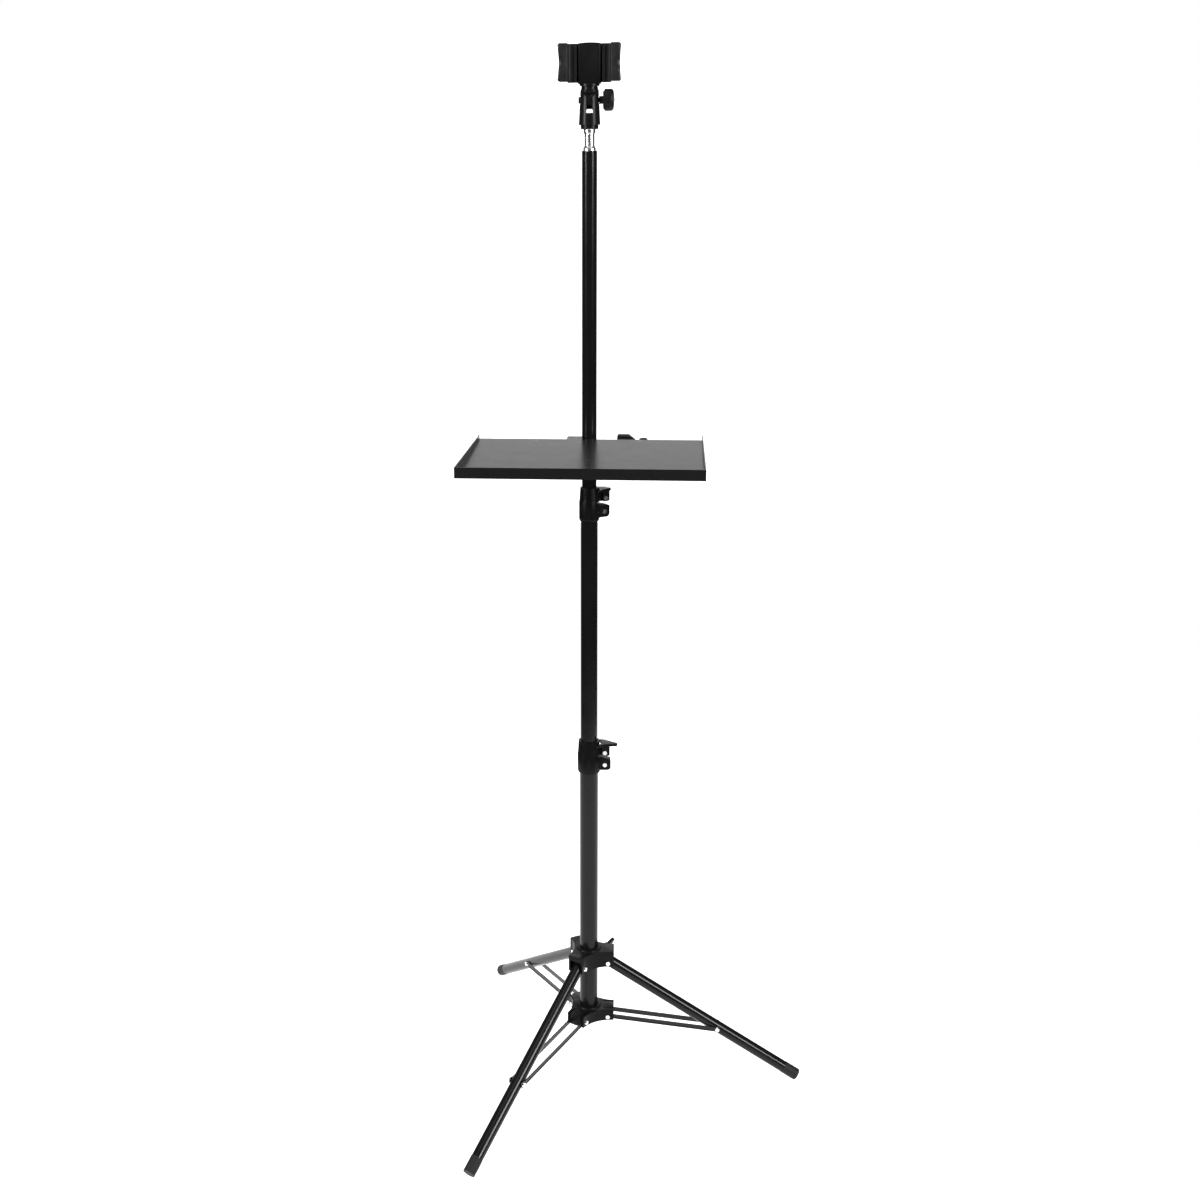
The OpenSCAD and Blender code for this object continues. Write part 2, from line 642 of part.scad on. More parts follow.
module tilt_knob() {
    from = tilt_flat + side_gap;
    r = tilt_knob_d / 2;
    end = from + 5 + tilt_knob_len;
    boss_r = 4.75;
    profile = concat([[0, from], [boss_r, from], [boss_r, from + 5], [r - 3, from + 5]],
        [[r, from + 7.5], [r, end - 5]], arc([r - 4, end - 5], 4, 0, 70, 5), [[0, end]]);
    color([0.08, 0.08, 0.09]) on_axis() translate([0, 0, tilt_z]) rotate([0, 90, 0]) difference() {
        fluted_knob(profile, r, from + 4, end - 5.5, 20, 2.2);
        translate([0, 0, from - 1]) cylinder(d = tilt_bolt_d + 2 * pin_gap_r, h = 15.5);
    }
}

// The neck: a tongue in the fork, a stepped shoulder over it and the clamp's platform.
module tilt_neck() {
    shell_r = socket_top_d / 2 + 0.2 + side_gap;
    tongue_w = fork_slot - 2 * slide_gap;
    color([0.1, 0.1, 0.11]) on_axis() difference() {
        union() {
            difference() {
                translate([0, 0, seam_z]) rotate_extrude() polygon([[0, 0], [socket_top_d / 2, 0],
                    [socket_top_d / 2 + 0.6, neck_h - 7.5], [socket_top_d / 2 - 0.6, neck_h - 7],
                    [platform_d / 2 - 2.4, neck_h - platform_h], [0, neck_h - platform_h + 0.5]]);
                translate([-20, 0, tilt_z]) rotate([0, 90, 0]) cylinder(r = shell_r, h = 40);
            }
            translate([0, 0, platform_z - platform_h]) cylinder(d = platform_d, h = platform_h);
            translate([-tongue_w / 2, 0, tilt_z]) rotate([0, 90, 0]) cylinder(r = tongue_r, h = tongue_w);
            translate([-tongue_w / 2, -8, tilt_z]) cube([tongue_w, 16, neck_h + tilt_drop - 2]);
        }
        translate([-20, 0, tilt_z]) rotate([0, 90, 0]) cylinder(d = tilt_bolt_d + 2 * pin_gap_r, h = 40);
    }
}

// The clamp's middle block, with rounded edges, an arched top and the channels that its jaws slide in.
module clamp_block() {
    half = clamp_mid_w / 2;
    deep = clamp_depth / 2;
    edge = 2.2;
    crown_r = arc_r(half, crown);
    crown_a = asin(half / crown_r);
    plan = concat([[half, deep], [-half, deep]], arc([edge - half, edge - deep], edge, 180, 270, 5),
        arc([half - edge, edge - deep], edge, 270, 360, 5));
    face = concat([[-half, 0], [half, 0]],
        arc([0, clamp_h - crown_r], crown_r, 90 - crown_a, 90 + crown_a, 10));
    color([0.07, 0.07, 0.08]) on_axis() translate([0, 0, platform_z]) difference() {
        intersection() {
            translate([0, 0, -1]) linear_extrude(clamp_h + 2) polygon(plan);
            translate([0, 30, 0]) rotate([90, 0, 0]) linear_extrude(60) polygon(face);
        }
        for (z = [tongue_low_z, tongue_high_z])
            translate([-clamp_mid_w, -tongue_d / 2 - slide_gap, z - slide_gap])
                cube([2 * clamp_mid_w, tongue_d + 2 * slide_gap, tongue_h + 2 * slide_gap]);
    }
}

// One jaw: a ribbed band beside the block, a lip in front with a thumb scoop, and a tongue in the block.
module jaw(side) {
    band_x = clamp_mid_w / 2 + slide_gap;
    lip_x = clamp_mid_w / 2 + clamp_band_w;
    out_x = lip_x + clamp_lip_w;
    back = clamp_depth / 2 - 2;
    band_y = 2 - clamp_depth / 2;
    lip_y = -clamp_depth / 2 - lip_reach;
    lip_z0 = 2.8;
    lip_z1 = clamp_h - 0.8;
    band_z0 = 1.6;
    band_z1 = clamp_h - 1.2;
    mid_z = (lip_z0 + lip_z1) / 2;
    corner = 2.5;
    half_z = lip_z1 - mid_z - corner;
    side_rise = 1.2;
    side_r = arc_r(half_z, side_rise);
    side_a = asin(half_z / side_r);
    thumb_r = arc_r(scoop_half_h, scoop_in);
    tongue_len = jaw_travel + 8.5;
    groove_y = band_y + 0.8;
    groove = [[lip_x - 7, band_y], [lip_x - 6.2, groove_y], [lip_x - 2.6, groove_y], [lip_x - 1.8, band_y]];
    plan = concat([[band_x, back], [band_x, band_y + 3], [band_x + 1.4, band_y]], groove,
        [[lip_x, band_y], [lip_x, lip_y + 1.5], [lip_x + 1.5, lip_y]],
        arc([out_x - 2, lip_y + 2], 2, 270, 360, 5), arc([out_x - 2, back - 2], 2, 0, 90, 5));
    face = concat([[band_x, band_z1], [band_x, band_z0], [lip_x, band_z0], [lip_x + 0.5, lip_z0]],
        arc([out_x - corner, lip_z0 + corner], corner, 270, 360, 5),
        arc([out_x - side_rise + side_r, mid_z], side_r, 180 + side_a * 0.98, 180 - side_a * 0.98, 10),
        arc([out_x - corner, lip_z1 - corner], corner, 0, 90, 5), [[lip_x + 0.5, lip_z1], [lip_x, band_z1]]);
    on_axis() translate([0, 0, platform_z]) mirror([side > 0 ? 0 : 1, 0, 0]) {
        difference() {
            intersection() {
                linear_extrude(clamp_h) polygon(plan);
                translate([0, 60, 0]) rotate([90, 0, 0]) linear_extrude(120) polygon(face);
            }
            translate([out_x - scoop_in + thumb_r, lip_y - scoop_front, mid_z])
                sphere(r = norm([thumb_r, scoop_front]));
        }
        translate([band_x - tongue_len, -tongue_d / 2, side > 0 ? tongue_low_z : tongue_high_z])
            cube([tongue_len + 1, tongue_d, tongue_h]);
    }
}

module jaw_left() {
    color([0.1, 0.1, 0.11]) jaw(-1);
}

module jaw_right() {
    color([0.1, 0.1, 0.11]) jaw(1);
}

lower_tube();
lower_hub();
lower_hub_bolts();
lower_collar();
lower_collar_bolts();
upper_hub();
upper_hub_bolts();
hub_knob();
leg(0);  // leg_right
leg(1);  // leg_back
leg(2);  // leg_front
foot(0);  // foot_right
foot(1);  // foot_back
foot(2);  // foot_front
brace(0);  // brace_right
brace(1);  // brace_back
brace(2);  // brace_front
rivets(0);  // rivets_right
rivets(1);  // rivets_back
rivets(2);  // rivets_front
mid_tube();
upper_collar();
upper_collar_bolts();
lower_lever();
upper_lever();
top_tube();
stud();
tray_pan();
tray_bracket();
tray_screws();
tray_knob();
socket();
tilt_bolt();
tilt_knob();
tilt_neck();
clamp_block();
jaw_left();
jaw_right();
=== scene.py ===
"""Looks of a tripod stand with a tray and a device clamp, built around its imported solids.

The solids stay where they are. Each one is dressed in the finish of its slot. The hubs,
collars, levers, wing screw, neck and clamp are replaced by copies with rounded edges, and some
of these copies also change a little in form.
"""

import json
import logging
import math
from dataclasses import dataclass, field
from enum import Enum

import bmesh
import bpy
from mathutils import Matrix, Vector

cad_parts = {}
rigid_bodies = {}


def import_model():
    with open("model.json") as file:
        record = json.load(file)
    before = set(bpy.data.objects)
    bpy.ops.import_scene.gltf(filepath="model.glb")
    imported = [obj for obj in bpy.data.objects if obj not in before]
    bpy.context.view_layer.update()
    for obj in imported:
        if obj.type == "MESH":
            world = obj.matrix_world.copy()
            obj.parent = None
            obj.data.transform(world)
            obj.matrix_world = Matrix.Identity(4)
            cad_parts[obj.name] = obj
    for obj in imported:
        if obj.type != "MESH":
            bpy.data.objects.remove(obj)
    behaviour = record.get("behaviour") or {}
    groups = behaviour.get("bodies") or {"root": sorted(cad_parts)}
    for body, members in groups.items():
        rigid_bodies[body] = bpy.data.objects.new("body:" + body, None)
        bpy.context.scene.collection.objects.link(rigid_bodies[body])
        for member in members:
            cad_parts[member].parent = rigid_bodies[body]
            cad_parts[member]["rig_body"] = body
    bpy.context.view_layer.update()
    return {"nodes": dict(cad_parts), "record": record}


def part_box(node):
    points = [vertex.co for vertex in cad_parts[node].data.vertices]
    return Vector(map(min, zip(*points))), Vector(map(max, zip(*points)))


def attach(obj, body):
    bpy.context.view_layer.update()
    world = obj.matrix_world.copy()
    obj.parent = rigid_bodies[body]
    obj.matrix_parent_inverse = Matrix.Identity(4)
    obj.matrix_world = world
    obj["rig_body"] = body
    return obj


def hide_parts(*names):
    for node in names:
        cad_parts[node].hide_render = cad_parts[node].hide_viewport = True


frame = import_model()

LOG = logging.getLogger("tripod_stand")
MM = 0.001
# Distance within which points count as one level.
LEVEL = 0.05 * MM
# Distance within which points count as one point.
MERGE = 0.002 * MM
# Angle, in degrees, under which neighbouring faces count as one flat face.
FLAT_ANGLE = 1.0
WHITE = (1.0, 1.0, 1.0, 1.0)


class Slot(Enum):
    """The record's material slots."""

    TUBE = "gloss_black_tube"
    MOULDING = "black_moulding"
    RIBBED = "ribbed_knob"
    BOLT = "bright_steel"
    STUD = "chromed_stud"
    STRIP = "black_strip"
    RUBBER = "foot_rubber"
    SHEET = "charcoal_sheet"
    CASTING = "black_casting"
    SCREW = "dark_screw"
    HEAD = "satin_head"
    CLAMP = "clamp_plastic"


class Grain(Enum):
    """The kinds of fine relief that a finish can have."""

    SPARKED = "sparked"
    DRAWN = "drawn"
    ORANGE_PEEL = "orange_peel"


class ShaderGroups:
    """The node groups that the finishes share, each built once."""

    def __init__(self) -> None:
        """Starts with no group built."""
        self._made: dict[str, bpy.types.NodeTree] = {}

    def _new(self, name: str, inputs: dict[str, str], outputs: dict[str, str]) -> bpy.types.NodeTree:
        """Makes an empty group with its sockets.

        Args:
            name: The group's name.
            inputs: Input names and their socket types.
            outputs: Output names and their socket types.

        Returns:
            The group, with an input and an output node in it.
        """
        tree = bpy.data.node_groups.new(name, "ShaderNodeTree")
        for label, kind in inputs.items():
            tree.interface.new_socket(label, in_out="INPUT", socket_type=kind)
        for label, kind in outputs.items():
            tree.interface.new_socket(label, in_out="OUTPUT", socket_type=kind)
        tree.nodes.new("NodeGroupInput")
        tree.nodes.new("NodeGroupOutput")
        return tree

    def grain(self) -> bpy.types.NodeTree:
        """A fine relief with slow changes of tone and gloss over the surface."""
        if "grain" in self._made:
            return self._made["grain"]
        number = "NodeSocketFloat"
        tree = self._new(
            "surface_grain",
            {"Vector": "NodeSocketVector", "Color": "NodeSocketColor", "Mottle": number,
             "Roughness": number, "Spread": number},
            {"Color": "NodeSocketColor", "Roughness": number, "Height": number},
        )
        node, link = tree.nodes.new, tree.links.new
        given, out = tree.nodes["Group Input"], tree.nodes["Group Output"]
        fine = node("ShaderNodeTexNoise")
        fine.inputs["Scale"].default_value = 1.0
        fine.inputs["Detail"].default_value = 3.0
        slow = node("ShaderNodeTexNoise")
        slow.inputs["Scale"].default_value = 0.035
        slow.inputs["Detail"].default_value = 4.0
        link(given.outputs["Vector"], fine.inputs["Vector"])
        link(given.outputs["Vector"], slow.inputs["Vector"])
        tone = node("ShaderNodeMapRange")
        tone.inputs["From Min"].default_value = 0.3
        tone.inputs["From Max"].default_value = 0.7
        tone.inputs["To Min"].default_value = -1.0
        link(slow.outputs["Fac"], tone.inputs["Value"])
        shade = node("ShaderNodeMath")
        shade.operation = "MULTIPLY_ADD"
        shade.inputs[2].default_value = 1.0
        link(tone.outputs["Result"], shade.inputs[0])
        link(given.outputs["Mottle"], shade.inputs[1])
        tint = node("ShaderNodeVectorMath")
        tint.operation = "SCALE"
        link(given.outputs["Color"], tint.inputs[0])
        link(shade.outputs[0], tint.inputs["Scale"])
        link(tint.outputs[0], out.inputs["Color"])
        gloss = node("ShaderNodeMath")
        gloss.operation = "MULTIPLY_ADD"
        link(tone.outputs["Result"], gloss.inputs[0])
        link(given.outputs["Spread"], gloss.inputs[1])
        link(given.outputs["Roughness"], gloss.inputs[2])
        link(gloss.outputs[0], out.inputs["Roughness"])
        link(fine.outputs["Fac"], out.inputs["Height"])
        self._made["grain"] = tree
        return tree

    def edge_wear(self) -> bpy.types.NodeTree:
        """A lighter, polished tone along the outer edges, found from the rounded normal."""
        if "edge" in self._made:
            return self._made["edge"]
        number = "NodeSocketFloat"
        tree = self._new(
            "edge_wear",
            {"Color": "NodeSocketColor", "Worn Color": "NodeSocketColor", "Radius": number,
             "Amount": number},
            {"Color": "NodeSocketColor", "Mask": number},
        )
        node, link = tree.nodes.new, tree.links.new
        given, out = tree.nodes["Group Input"], tree.nodes["Group Output"]
        rounded = node("ShaderNodeBevel")
        rounded.samples = 4
        link(given.outputs["Radius"], rounded.inputs["Radius"])
        true_normal = node("ShaderNodeNewGeometry")
        turned = node("ShaderNodeVectorMath")
        turned.operation = "DOT_PRODUCT"
        link(rounded.outputs["Normal"], turned.inputs[0])
        link(true_normal.outputs["Normal"], turned.inputs[1])
        mask = node("ShaderNodeMapRange")
        mask.inputs["From Min"].default_value = 0.98
        mask.inputs["From Max"].default_value = 0.8
        link(turned.outputs["Value"], mask.inputs["Value"])
        patchy = node("ShaderNodeTexNoise")
        patchy.inputs["Scale"].default_value = 90.0
        amount = node("ShaderNodeMath")
        amount.operation = "MULTIPLY"
        link(mask.outputs["Result"], amount.inputs[0])
        link(patchy.outputs["Fac"], amount.inputs[1])
        share = node("ShaderNodeMath")
        share.operation = "MULTIPLY"
        link(amount.outputs[0], share.inputs[0])
        link(given.outputs["Amount"], share.inputs[1])
        blend = node("ShaderNodeMix")
        blend.data_type = "RGBA"
        link(share.outputs[0], blend.inputs["Factor"])
        link(given.outputs["Color"], blend.inputs[6])
        link(given.outputs["Worn Color"], blend.inputs[7])
        link(blend.outputs[2], out.inputs["Color"])
        link(share.outputs[0], out.inputs["Mask"])
        self._made["edge"] = tree
        return tree

    def dust(self) -> bpy.types.NodeTree:
        """A faint film of dust on what faces up, patchy and paler than the surface."""
        if "dust" in self._made:
            return self._made["dust"]
        number = "NodeSocketFloat"
        tree = self._new(
            "settled_dust",
            {"Color": "NodeSocketColor", "Dust Color": "NodeSocketColor", "Amount": number},
            {"Color": "NodeSocketColor", "Mask": number},
        )
        node, link = tree.nodes.new, tree.links.new
        given, out = tree.nodes["Group Input"], tree.nodes["Group Output"]
        facing = node("ShaderNodeNewGeometry")
        parts = node("ShaderNodeSeparateXYZ")
        link(facing.outputs["Normal"], parts.inputs["Vector"])
        upward = node("ShaderNodeMapRange")
        upward.inputs["From Min"].default_value = 0.3
        upward.inputs["From Max"].default_value = 1.0
        link(parts.outputs["Z"], upward.inputs["Value"])
        place = node("ShaderNodeTexCoord")
        patches = node("ShaderNodeTexNoise")
        patches.inputs["Scale"].default_value = 38.0
        patches.inputs["Detail"].default_value = 6.0
        link(place.outputs["Object"], patches.inputs["Vector"])
        thick = node("ShaderNodeMath")
        thick.operation = "MULTIPLY"
        link(upward.outputs["Result"], thick.inputs[0])
        link(patches.outputs["Fac"], thick.inputs[1])
        share = node("ShaderNodeMath")
        share.operation = "MULTIPLY"
        link(thick.outputs[0], share.inputs[0])
        link(given.outputs["Amount"], share.inputs[1])
        blend = node("ShaderNodeMix")
        blend.data_type = "RGBA"
        link(share.outputs[0], blend.inputs["Factor"])
        link(given.outputs["Color"], blend.inputs[6])
        link(given.outputs["Dust Color"], blend.inputs[7])
        link(blend.outputs[2], out.inputs["Color"])
        link(share.outputs[0], out.inputs["Mask"])
        self._made["dust"] = tree
        return tree


GROUPS = ShaderGroups()


def column_centre() -> Vector:
    """The middle of the lower tube, which lies on the column's axis."""
    low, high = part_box("lower_tube")
    return (low + high) / 2


def heading(degrees: float) -> Vector:
    """The level direction at an angle about the column.

    Args:
        degrees: The angle from the X axis.

    Returns:
        The direction, of length 1.
    """
    return Vector((math.cos(math.radians(degrees)), math.sin(math.radians(degrees)), 0.0))


@dataclass(frozen=True)
class Finish:
    """One finish: its colour and gloss, and how fine and how deep its relief is."""

    slot: Slot
    color: tuple[float, float, float]
    roughness: float
    metallic: float = 0.0
    specular: float = 0.28
    coat: float = 0.0
    grain: Grain = Grain.SPARKED
    grain_size: float = 0.5 * MM
    grain_depth: float = 0.01 * MM
    mottle: float = 0.1
    spread: float = 0.04
    worn: tuple[float, float, float] = (0.05, 0.05, 0.052)
    wear: float = 0.5
    wear_width: float = 0.5 * MM
    dust: float = 0.004
    variant: str = ""

    def _stretch(self) -> tuple[float, float, float]:
        """How far the grain is drawn out along each axis."""
        if self.grain is Grain.DRAWN:
            return (1.0, 1.0, 0.03)
        if self.grain is Grain.ORANGE_PEEL:
            return (0.8, 0.8, 0.8)
        return (1.0, 1.0, 1.0)

    def material(self) -> bpy.types.Material:
        """Builds the finish as a material, or returns the one already built."""
        name = self.slot.value + self.variant
        made = bpy.data.materials.get(name)
        if made is not None and made.use_nodes and made.get("dressed"):
            return made
        made = bpy.data.materials.new(name)
        made.name = name
        made["dressed"] = True
        made.use_nodes = True
        nodes, link = made.node_tree.nodes, made.node_tree.links.new
        shader = nodes["Principled BSDF"]
        shader.inputs["Metallic"].default_value = self.metallic
        shader.inputs["Specular IOR Level"].default_value = self.specular
        shader.inputs["Coat Weight"].default_value = self.coat
        shader.inputs["Coat Roughness"].default_value = 0.08

        place = nodes.new("ShaderNodeTexCoord")
        spacing = nodes.new("ShaderNodeMapping")
        spacing.inputs["Scale"].default_value = [s / self.grain_size for s in self._stretch()]
        link(place.outputs["Object"], spacing.inputs["Vector"])

        grain = nodes.new("ShaderNodeGroup")
        grain.node_tree = GROUPS.grain()
        grain.inputs["Color"].default_value = (*self.color, 1.0)
        grain.inputs["Mottle"].default_value = self.mottle
        grain.inputs["Roughness"].default_value = self.roughness
        grain.inputs["Spread"].default_value = self.spread
        link(spacing.outputs["Vector"], grain.inputs["Vector"])

        edge = nodes.new("ShaderNodeGroup")
        edge.node_tree = GROUPS.edge_wear()
        edge.inputs["Worn Color"].default_value = (*self.worn, 1.0)
        edge.inputs["Radius"].default_value = self.wear_width
        edge.inputs["Amount"].default_value = self.wear
        link(grain.outputs["Color"], edge.inputs["Color"])

        dust = nodes.new("ShaderNodeGroup")
        dust.node_tree = GROUPS.dust()
        dust.inputs["Dust Color"].default_value = (0.3, 0.29, 0.28, 1.0)
        dust.inputs["Amount"].default_value = self.dust
        link(edge.outputs["Color"], dust.inputs["Color"])
        link(dust.outputs["Color"], shader.inputs["Base Color"])
        link(grain.outputs["Roughness"], shader.inputs["Roughness"])

        relief = nodes.new("ShaderNodeBump")
        relief.inputs["Strength"].default_value = 1.0
        relief.inputs["Distance"].default_value = self.grain_depth
        link(grain.outputs["Height"], relief.inputs["Height"])
        link(relief.outputs["Normal"], shader.inputs["Normal"])
        return made

    def dress(self, piece: bpy.types.Object) -> None:
        """Puts the finish on a piece, in place of what it wore."""
        piece.data.materials.clear()
        piece.data.materials.append(self.material())


FINISHES = {
    finish.slot: finish
    for finish in (
        Finish(Slot.TUBE, (0.0055, 0.0055, 0.0058), 0.19, specular=0.17, grain=Grain.ORANGE_PEEL,
               grain_size=1.1 * MM, grain_depth=0.003 * MM, mottle=0.06, wear=0.3),
        Finish(Slot.MOULDING, (0.0045, 0.0045, 0.0048), 0.36, specular=0.07, grain_depth=0.02 * MM),
        Finish(Slot.RIBBED, (0.006, 0.006, 0.0063), 0.42, specular=0.2, grain_depth=0.02 * MM),
        Finish(Slot.BOLT, (0.72, 0.72, 0.73), 0.24, metallic=1.0, grain=Grain.DRAWN,
               grain_depth=0.004 * MM, worn=(0.9, 0.9, 0.9), dust=0.0),
        Finish(Slot.STUD, (0.84, 0.84, 0.85), 0.26, metallic=1.0, grain=Grain.ORANGE_PEEL,
               grain_depth=0.002 * MM, mottle=0.04, worn=(0.9, 0.9, 0.9), dust=0.0),
        Finish(Slot.STRIP, (0.006, 0.006, 0.0063), 0.28, specular=0.24, grain=Grain.ORANGE_PEEL,
               grain_depth=0.006 * MM),
        Finish(Slot.RUBBER, (0.010, 0.010, 0.010), 0.6, specular=0.2, grain_depth=0.03 * MM),
        Finish(Slot.SHEET, (0.010, 0.010, 0.0104), 0.26, specular=0.032, grain=Grain.ORANGE_PEEL,
               grain_size=0.7 * MM, grain_depth=0.006 * MM, mottle=0.03, spread=0.012, wear=0.0,
               dust=0.0),
        Finish(Slot.CASTING, (0.004, 0.004, 0.0042), 0.36, specular=0.12, grain_depth=0.025 * MM,
               wear=0.3),
        Finish(Slot.SCREW, (0.06, 0.06, 0.062), 0.35, metallic=1.0, grain=Grain.DRAWN,
               worn=(0.3, 0.3, 0.3), dust=0.0),
        Finish(Slot.HEAD, (0.006, 0.006, 0.0063), 0.3, specular=0.1, grain_depth=0.008 * MM),
        Finish(Slot.CLAMP, (0.015, 0.015, 0.0154), 0.36, specular=0.26, grain_depth=0.02 * MM),
    )
}


# Finishes of single nodes that differ a little from the rest of their slot.
SPECIAL = {
    "clamp_block": Finish(Slot.CLAMP, (0.006, 0.006, 0.0063), 0.4, specular=0.1, grain_depth=0.02 * MM,
                          variant="_block"),
}


@dataclass
class Studio:
    """The camera, the lamps, the floor and the backdrop."""

    camera_from_column: tuple[float, float] = (0.0619, -2.0097)
    camera_height: float = 1.3103
    yaw: float = 5.83
    pitch: float = 13.58
    roll: float = 0.905
    focal_px: float = 1581.2
    axis_px: tuple[float, float] = (480.0, 508.6)
    picture_px: float = 1200.0
    sensor: float = 36.0
    floor_radius: float = 1.25
    floor_gain: float = 0.93
    sheet_radius: float = 3.2
    sheet_height: float = 4.4
    sheet_half_width: float = 1.5
    sheet_gain: float = 1.0
    room_light: float = 0.05

    def camera(self) -> None:
        """Sets the camera at the photograph's viewing angle."""
        column = column_centre()
        data = bpy.data.cameras.new("camera")
        data.sensor_width = self.sensor
        data.lens = self.focal_px / self.picture_px * self.sensor
        middle = self.picture_px / 2
        data.shift_x = (middle - self.axis_px[0]) / self.picture_px
        data.shift_y = (self.axis_px[1] - middle) / self.picture_px
        data.clip_start, data.clip_end = 0.05, 60.0
        camera = bpy.data.objects.new("camera", data)
        bpy.context.scene.collection.objects.link(camera)
        yaw, pitch, roll = (math.radians(a) for a in (self.yaw, self.pitch, self.roll))
        side = Vector((math.cos(yaw), math.sin(yaw), 0.0))
        ahead = Vector((-math.sin(yaw), math.cos(yaw), 0.0))
        up = math.sin(pitch) * ahead + math.cos(pitch) * Vector((0.0, 0.0, 1.0))
        forward = math.cos(pitch) * ahead - math.sin(pitch) * Vector((0.0, 0.0, 1.0))
        right = math.cos(roll) * side - math.sin(roll) * up
        top = math.sin(roll) * side + math.cos(roll) * up
        turn = Matrix((right, top, -forward)).transposed().to_4x4()
        across, back = self.camera_from_column
        place = Vector((column.x + across, back, self.camera_height))
        camera.matrix_world = Matrix.Translation(place) @ turn
        bpy.context.scene.camera = camera

    def lamp(self, name: str, place: tuple[float, float, float], aim: tuple[float, float, float],
             size: tuple[float, float], watts: float) -> None:
        """Adds one soft box.

        Args:
            name: The lamp's name.
            place: Where it stands, in metres.
            aim: The point that it faces.
            size: Its width and height.
            watts: Its power.
        """
        data = bpy.data.lights.new(name, "AREA")
        data.shape = "RECTANGLE"
        data.size, data.size_y = size
        data.energy = watts
        lamp = bpy.data.objects.new(name, data)
        bpy.context.scene.collection.objects.link(lamp)
        lamp.location = place
        lamp.rotation_euler = (Vector(aim) - Vector(place)).to_track_quat("-Z", "Y").to_euler()

    def lamps(self) -> None:
        """Hangs a soft box on each side in front, and a large one overhead."""
        target = (-0.07, 0.0, 0.8)
        self.lamp("box_left", (-2.3, -1.5, 1.9), target, (0.7, 1.5), 98)
        self.lamp("box_right", (2.1, -1.6, 1.9), target, (0.7, 1.5), 98)
        self.lamp("overhead", (0.0, 0.2, 3.6), (0.0, 0.0, 0.0), (3.0, 3.0), 50)

    def _paper(self, name: str, gain: float) -> bpy.types.Material:
        """White paper that shows as white and still takes the stand's shadow.

        Args:
            name: The material's name.
            gain: How much the camera and reflections see on top of the lit paper.

        Returns:
            The material.
        """
        made = bpy.data.materials.new(name)
        made.use_nodes = True
        nodes, link = made.node_tree.nodes, made.node_tree.links.new
        shader = nodes["Principled BSDF"]
        shader.inputs["Base Color"].default_value = (0.8, 0.8, 0.8, 1.0)
        shader.inputs["Roughness"].default_value = 0.9
        shader.inputs["Specular IOR Level"].default_value = 0.0
        shader.inputs["Emission Color"].default_value = WHITE
        path = nodes.new("ShaderNodeLightPath")
        seen = nodes.new("ShaderNodeMath")
        seen.operation = "ADD"
        link(path.outputs["Is Camera Ray"], seen.inputs[0])
        link(path.outputs["Is Glossy Ray"], seen.inputs[1])
        through = nodes.new("ShaderNodeMath")
        through.operation = "ADD"
        through.use_clamp = True
        link(seen.outputs[0], through.inputs[0])
        link(path.outputs["Is Transmission Ray"], through.inputs[1])
        strength = nodes.new("ShaderNodeMath")
        strength.operation = "MULTIPLY"
        strength.inputs[1].default_value = gain
        link(through.outputs[0], strength.inputs[0])
        link(strength.outputs[0], shader.inputs["Emission Strength"])
        return made

    def floor(self) -> None:
        """Lays a round white floor."""
        bpy.ops.mesh.primitive_circle_add(
            vertices=96, radius=self.floor_radius, fill_type="NGON", location=(0, 0, 0))
        floor = bpy.context.object
        floor.name = "floor"
        floor.data.materials.append(self._paper("floor_paper", self.floor_gain))

    def backdrop(self) -> None:
        """Stands a curved white sheet behind the object."""
        bpy.ops.mesh.primitive_cylinder_add(
            vertices=128, radius=self.sheet_radius, depth=self.sheet_height,
            end_fill_type="NOTHING", location=(0, 0, self.sheet_height / 2))
        sheet = bpy.context.object
        sheet.name = "backdrop"
        mesh = bmesh.new()
        mesh.from_mesh(sheet.data)
        centres = [(face, face.calc_center_median()) for face in mesh.faces]
        gone = [face for face, at in centres if at.y < 0 or abs(at.x) > self.sheet_half_width]
        bmesh.ops.delete(mesh, geom=gone, context="FACES")
        mesh.to_mesh(sheet.data)
        mesh.free()
        sheet.data.materials.append(self._paper("backdrop_paper", self.sheet_gain))

    def world(self) -> None:
        """Fills the room with a low even light, and shows it as white to the camera."""
        world = bpy.data.worlds.new("studio")
        bpy.context.scene.world = world
        world.use_nodes = True
        nodes, link = world.node_tree.nodes, world.node_tree.links.new
        out = nodes["World Output"]
        room = nodes["Background"]
        room.inputs["Color"].default_value = WHITE
        room.inputs["Strength"].default_value = self.room_light
        white = nodes.new("ShaderNodeBackground")
        white.inputs["Color"].default_value = WHITE
        white.inputs["Strength"].default_value = 1.0
        path = nodes.new("ShaderNodeLightPath")
        choose = nodes.new("ShaderNodeMixShader")
        link(path.outputs["Is Camera Ray"], choose.inputs["Fac"])
        link(room.outputs[0], choose.inputs[1])
        link(white.outputs[0], choose.inputs[2])
        link(choose.outputs[0], out.inputs["Surface"])

    def build(self) -> None:
        """Sets up everything round the object."""
        self.camera()
        self.lamps()
        self.floor()
        self.backdrop()
        self.world()
        bpy.context.scene.view_settings.view_transform = "Standard"


@dataclass(frozen=True)
class LeverShape:
    """How a lever's wing departs from its solid."""

    turn: float
    raised: float
    wing_from: float = 0.0
    drawn_in: float = 0.0

    def apply(self, mesh: bmesh.types.BMesh) -> None:
        """Thickens the wing upwards and draws its tip towards the column.

        Args:
            mesh: The lever's merged mesh.
        """
        column = column_centre()
        out = heading(self.turn)
        top = max(vert.co.z for vert in mesh.verts)
        for vert in mesh.verts:
            reach = (vert.co - column).dot(out)
            if reach > self.wing_from:
                vert.co -= out * self.drawn_in
            if vert.co.z > top - LEVEL:
                vert.co.z += self.raised


